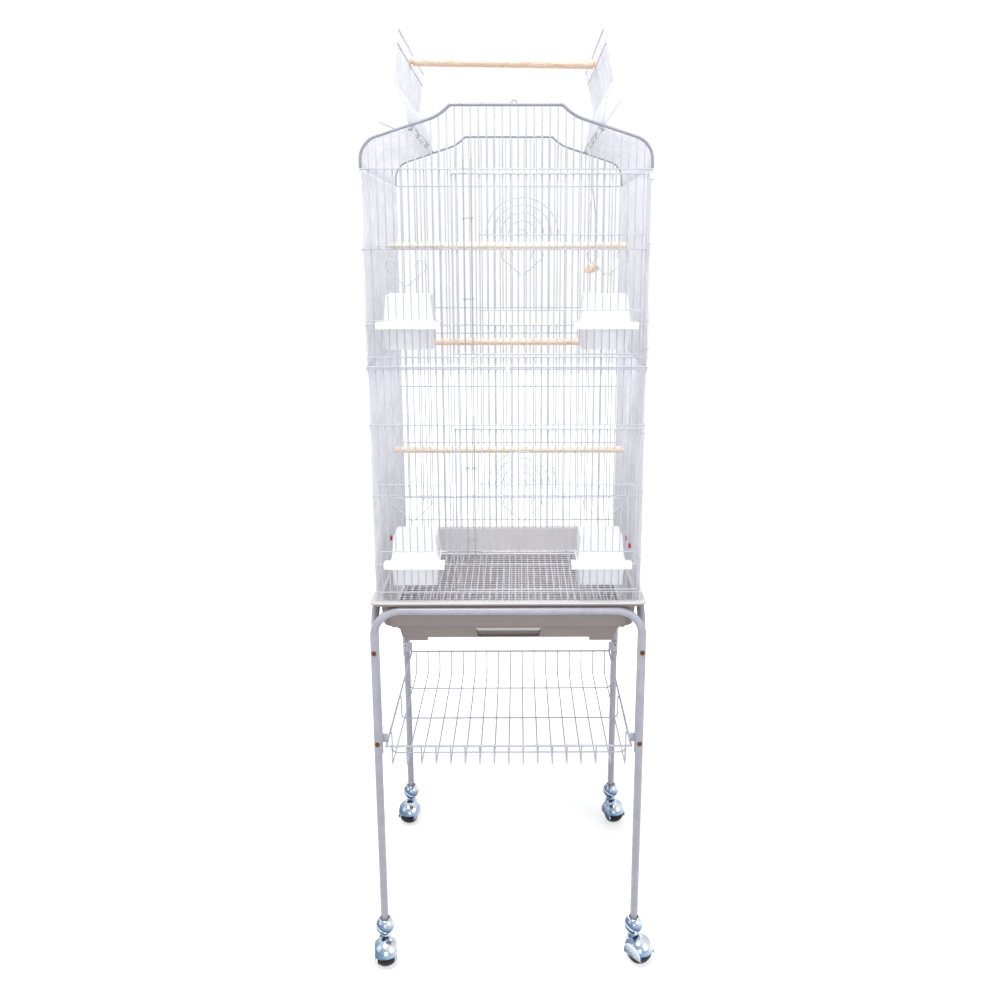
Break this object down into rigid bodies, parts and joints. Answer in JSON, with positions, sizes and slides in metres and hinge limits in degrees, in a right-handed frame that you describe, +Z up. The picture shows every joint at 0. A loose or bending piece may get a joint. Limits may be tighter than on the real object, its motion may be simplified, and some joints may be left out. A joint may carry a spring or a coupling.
{
  "type": "bird cage on stand",
  "caption": "Tall wire bird cage with arched front, play-top doors, front doors, feeders and perches, on a rolling tube stand with a wire basket and a slide-out tray.",
  "frame": {"origin": "on the floor, under the middle of the bounding box", "axes": "+Z up; the front with the doors and feeders faces -Y; +X to the right seen from the front"},
  "size_m": [0.5368, 0.5048, 1.648],
  "materials": {
    "wire": "satin powder coat",
    "arch_wire": "satin powder coat",
    "stand_coat": "satin powder coat",
    "base_plastic": "fine matte",
    "feeder_plastic": "gloss",
    "perch_wood": "sanded bare wood",
    "red_plastic": "gloss",
    "bolt_metal": "satin",
    "nut_steel": "satin",
    "collar_chrome": "bright",
    "wheel_black": "satin"
  },
  "bodies": {
    "cage": {"front_panel_upper": "wire", "front_panel_lower": "wire", "rear_panel_upper": "wire", "rear_panel_lower": "wire", "left_panel_upper": "wire", "left_panel_lower": "wire", "right_panel_upper": "wire", "right_panel_lower": "wire", "roof_panel_left": "wire", "roof_panel_right": "wire", "front_arch": "arch_wire", "rear_arch": "arch_wire", "panel_clips": "wire", "upper_perch": "perch_wood", "middle_perch": "perch_wood", "lower_perch": "perch_wood", "base_tub": "base_plastic", "red_clips": "red_plastic", "stand_front_frame": "stand_coat", "stand_rear_frame": "stand_coat", "stand_left_frame": "stand_coat", "stand_right_frame": "stand_coat", "stand_bolts": "bolt_metal", "stand_nuts": "nut_steel", "storage_basket": "stand_coat", "caster_collars": "collar_chrome"},
    "upper_front_door": {"upper_front_door": "wire"},
    "lower_front_door": {"lower_front_door": "wire"},
    "upper_latch": {"upper_latch": "wire"},
    "lower_latch": {"lower_latch": "wire"},
    "upper_centre_door": {"upper_centre_door": "wire"},
    "lower_centre_door": {"lower_centre_door": "wire"},
    "upper_left_feeder_door": {"upper_left_feeder_door": "wire"},
    "upper_right_feeder_door": {"upper_right_feeder_door": "wire"},
    "lower_left_feeder_door": {"lower_left_feeder_door": "wire"},
    "lower_right_feeder_door": {"lower_right_feeder_door": "wire"},
    "upper_left_feeder": {"upper_left_feeder": "feeder_plastic"},
    "upper_right_feeder": {"upper_right_feeder": "feeder_plastic"},
    "lower_left_feeder": {"lower_left_feeder": "feeder_plastic"},
    "lower_right_feeder": {"lower_right_feeder": "feeder_plastic"},
    "play_top_door_left": {"play_top_door_left": "wire"},
    "play_top_door_right": {"play_top_door_right": "wire"},
    "play_top_perch": {"play_top_perch": "perch_wood"},
    "roof_loop_left": {"roof_loop_left": "wire"},
    "roof_loop_right": {"roof_loop_right": "wire"},
    "swing": {"swing_wire": "wire", "swing_perch": "perch_wood"},
    "floor_grille": {"floor_grille": "wire"},
    "slide_out_tray": {"slide_out_tray": "base_plastic"},
    "caster_hood_front_left": {"caster_hood_front_left": "collar_chrome"},
    "caster_wheel_front_left": {"caster_wheel_front_left": "wheel_black"},
    "caster_hood_front_right": {"caster_hood_front_right": "collar_chrome"},
    "caster_wheel_front_right": {"caster_wheel_front_right": "wheel_black"},
    "caster_hood_rear_left": {"caster_hood_rear_left": "collar_chrome"},
    "caster_wheel_rear_left": {"caster_wheel_rear_left": "wheel_black"},
    "caster_hood_rear_right": {"caster_hood_rear_right": "collar_chrome"},
    "caster_wheel_rear_right": {"caster_wheel_rear_right": "wheel_black"}
  },
  "joints": [
    {"name": "upper_front_door_hinge", "type": "hinge", "parent": "cage", "child": "upper_front_door", "pos_m": [0.2234, -0.20307, 1.29], "axis": [0, 0, 1], "range_deg": [0, 100]},
    {"name": "upper_latch_slide", "type": "slide", "parent": "upper_front_door", "child": "upper_latch", "axis": [0, 0, 1], "range_m": [-0.022, 0]},
    {"name": "upper_centre_door_slide", "type": "slide", "parent": "upper_front_door", "child": "upper_centre_door", "axis": [0, 0, 1], "range_m": [-0.017, 0.085]},
    {"name": "upper_right_feeder_door_slide", "type": "slide", "parent": "upper_front_door", "child": "upper_right_feeder_door", "axis": [0, 0, 1], "range_m": [-0.017, 0.085]},
    {"name": "upper_left_feeder_door_slide", "type": "slide", "parent": "cage", "child": "upper_left_feeder_door", "axis": [0, 0, 1], "range_m": [0, 0.102]},
    {"name": "upper_left_feeder_lift", "type": "slide", "parent": "cage", "child": "upper_left_feeder", "axis": [0, 0, 1], "range_m": [0, 0.0015]},
    {"name": "upper_right_feeder_lift", "type": "slide", "parent": "upper_front_door", "child": "upper_right_feeder", "axis": [0, 0, 1], "range_m": [0, 0.015]},
    {"name": "lower_front_door_hinge", "type": "hinge", "parent": "cage", "child": "lower_front_door", "pos_m": [0.2234, -0.20307, 0.883], "axis": [0, 0, 1], "range_deg": [0, 100]},
    {"name": "lower_latch_slide", "type": "slide", "parent": "lower_front_door", "child": "lower_latch", "axis": [0, 0, 1], "range_m": [-0.022, 0]},
    {"name": "lower_centre_door_slide", "type": "slide", "parent": "lower_front_door", "child": "lower_centre_door", "axis": [0, 0, 1], "range_m": [-0.017, 0.085]},
    {"name": "lower_right_feeder_door_slide", "type": "slide", "parent": "lower_front_door", "child": "lower_right_feeder_door", "axis": [0, 0, 1], "range_m": [-0.017, 0.085]},
    {"name": "lower_left_feeder_door_slide", "type": "slide", "parent": "cage", "child": "lower_left_feeder_door", "axis": [0, 0, 1], "range_m": [-0.017, 0.085]},
    {"name": "lower_left_feeder_lift", "type": "slide", "parent": "cage", "child": "lower_left_feeder", "axis": [0, 0, 1], "range_m": [0, 0.015]},
    {"name": "lower_right_feeder_lift", "type": "slide", "parent": "lower_front_door", "child": "lower_right_feeder", "axis": [0, 0, 1], "range_m": [0, 0.015]},
    {"name": "play_top_hinge_right", "type": "hinge", "parent": "cage", "child": "play_top_door_right", "pos_m": [0.14739, 0.01293, 1.50245], "axis": [0, 1, 0], "range_deg": [0, 15]},
    {"name": "play_top_hinge_left", "type": "hinge", "parent": "cage", "child": "play_top_door_left", "pos_m": [-0.1576, 0.01293, 1.50245], "axis": [0, -1, 0], "range_deg": [0, 11]},
    {"name": "play_top_perch_lift", "type": "slide", "parent": "cage", "child": "play_top_perch", "axis": [0, 0, 1], "range_m": [0, 0.004]},
    {"name": "roof_loop_hinge_left", "type": "hinge", "parent": "cage", "child": "roof_loop_left", "pos_m": [-0.1576, 0.01293, 1.50245], "axis": [0, 1, 0], "range_deg": [-39, 32]},
    {"name": "roof_loop_hinge_right", "type": "hinge", "parent": "cage", "child": "roof_loop_right", "pos_m": [0.14739, 0.01293, 1.50245], "axis": [0, -1, 0], "range_deg": [-72, 0]},
    {"name": "swing_hinge", "type": "hinge", "parent": "cage", "child": "swing", "pos_m": [0.14739, 0.01293, 1.50245], "axis": [0, 1, 0], "range_deg": [-12, 25]},
    {"name": "floor_grille_lift", "type": "slide", "parent": "cage", "child": "floor_grille", "axis": [0, 0, 1], "range_m": [0, 0.02]},
    {"name": "tray_slide", "type": "slide", "parent": "cage", "child": "slide_out_tray", "axis": [0, -1, 0], "range_m": [0, 0.36]},
    {"name": "caster_swivel_front_left", "type": "hinge", "parent": "cage", "child": "caster_hood_front_left", "pos_m": [-0.24011, -0.20907, 0.058], "axis": [0, 0, 1], "continuous": true},
    {"name": "caster_roll_front_left", "type": "hinge", "parent": "caster_hood_front_left", "child": "caster_wheel_front_left", "pos_m": [-0.23802, -0.22393, 0.025], "axis": [0.9903, 0.1392, 0], "continuous": true},
    {"name": "caster_swivel_front_right", "type": "hinge", "parent": "cage", "child": "caster_hood_front_right", "pos_m": [0.22989, -0.20907, 0.058], "axis": [0, 0, 1], "continuous": true},
    {"name": "caster_roll_front_right", "type": "hinge", "parent": "caster_hood_front_right", "child": "caster_wheel_front_right", "pos_m": [0.23993, -0.22022, 0.025], "axis": [0.7431, 0.6691, 0], "continuous": true},
    {"name": "caster_swivel_rear_left", "type": "hinge", "parent": "cage", "child": "caster_hood_rear_left", "pos_m": [-0.24011, 0.23493, 0.058], "axis": [0, 0, 1], "continuous": true},
    {"name": "caster_roll_rear_left", "type": "hinge", "parent": "caster_hood_rear_left", "child": "caster_wheel_rear_left", "pos_m": [-0.24373, 0.22037, 0.025], "axis": [0.9703, -0.2419, 0], "continuous": true},
    {"name": "caster_swivel_rear_right", "type": "hinge", "parent": "cage", "child": "caster_hood_rear_right", "pos_m": [0.22989, 0.23493, 0.058], "axis": [0, 0, 1], "continuous": true},
    {"name": "caster_roll_rear_right", "type": "hinge", "parent": "caster_hood_rear_right", "child": "caster_wheel_rear_right", "pos_m": [0.23551, 0.22102, 0.025], "axis": [0.9272, 0.3746, 0], "continuous": true}
  ]
}
